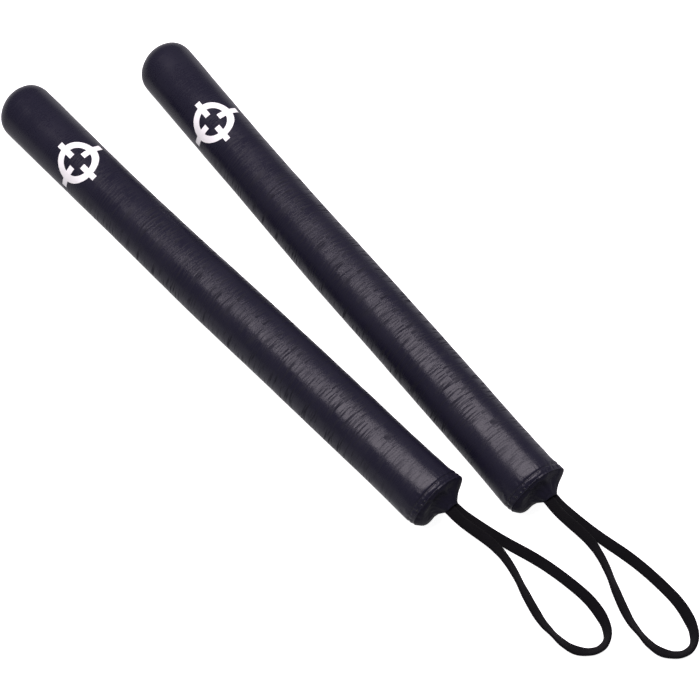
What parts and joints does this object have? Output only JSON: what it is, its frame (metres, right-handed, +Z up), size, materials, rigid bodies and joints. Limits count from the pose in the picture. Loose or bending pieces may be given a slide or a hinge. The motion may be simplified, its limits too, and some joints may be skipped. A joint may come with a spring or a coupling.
{
  "type": "padded training sticks",
  "caption": "Padded martial arts training sticks with rounded tips, sewn butt caps and webbing wrist straps, for striking and blocking drills.",
  "frame": {"origin": "centre of the box round the two sticks without their wrist straps, on the ground they lie on", "axes": "+X along the pair, from the strap ends to the rounded tips; +Z up from the ground; +Y towards stick a"},
  "size_m": [0.8408, 0.195, 0.0582],
  "materials": {
    "leather": "satin",
    "webbing": "matte",
    "thread": "satin",
    "print": "matte",
    "soft_foam": "matte",
    "dense_foam": "matte",
    "pvc": "satin",
    "plug_plastic": "matte",
    "pin_steel": "satin"
  },
  "bodies": {
    "stick_a": {"core_tube_a": "pvc", "tip_plug_a": "plug_plastic", "butt_plug_a": "plug_plastic", "strap_pin_a": "pin_steel", "inner_foam_a": "dense_foam", "outer_foam_a": "soft_foam", "tip_foam_a": "soft_foam", "butt_foam_a": "soft_foam", "cover_a": "leather", "rim_thread_a": "thread", "rim_welt_a": "leather", "butt_cap_a": "leather", "strap_tail_a": "webbing", "printed_mark_a": "print"},
    "wrist_strap_a": {"strap_loop_a": "webbing"},
    "stick_b": {"core_tube_b": "pvc", "tip_plug_b": "plug_plastic", "butt_plug_b": "plug_plastic", "strap_pin_b": "pin_steel", "inner_foam_b": "dense_foam", "outer_foam_b": "soft_foam", "tip_foam_b": "soft_foam", "butt_foam_b": "soft_foam", "cover_b": "leather", "rim_thread_b": "thread", "rim_welt_b": "leather", "butt_cap_b": "leather", "strap_tail_b": "webbing", "printed_mark_b": "print"},
    "wrist_strap_b": {"strap_loop_b": "webbing"}
  },
  "joints": [
    {"name": "stick_b_apart", "type": "slide", "parent": "stick_a", "child": "stick_b", "axis": [0, -1, 0], "range_m": [0, 0.25]},
    {"name": "wrist_strap_a_lift", "type": "hinge", "parent": "stick_a", "child": "wrist_strap_a", "pos_m": [-0.28006, 0.03122, 0.0338], "axis": [-0.0532, 0.9986, 0], "range_deg": [0, 70]},
    {"name": "wrist_strap_b_lift", "type": "hinge", "parent": "stick_b", "child": "wrist_strap_b", "pos_m": [-0.33121, -0.04217, 0.0338], "axis": [0.055, 0.9985, 0], "range_deg": [0, 70]}
  ]
}
